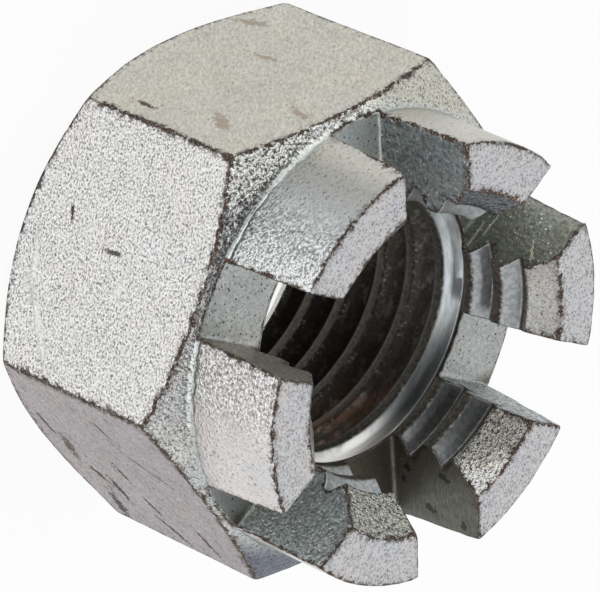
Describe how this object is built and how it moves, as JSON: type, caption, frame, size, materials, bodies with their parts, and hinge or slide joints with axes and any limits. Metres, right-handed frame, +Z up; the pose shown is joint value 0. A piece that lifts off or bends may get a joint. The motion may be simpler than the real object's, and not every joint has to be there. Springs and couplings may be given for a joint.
{
  "type": "castle nut",
  "caption": "Hexagon castle nut: double-chamfered body, round crown cut by six pin slots, threaded bore with a wide countersink.",
  "frame": {"origin": "centre of the flat bearing face, on the thread axis", "axes": "+Z up the thread axis to the crown; +X through the middle of a slot and square to a flat; +Y towards a corner of the hexagon"},
  "size_m": [0.036, 0.0414, 0.0275],
  "materials": {
    "zinc_plated_steel": "zinc-plated forged steel, matte and grainy"
  },
  "bodies": {
    "root": {"castle_nut": "zinc_plated_steel"}
  },
  "joints": []
}
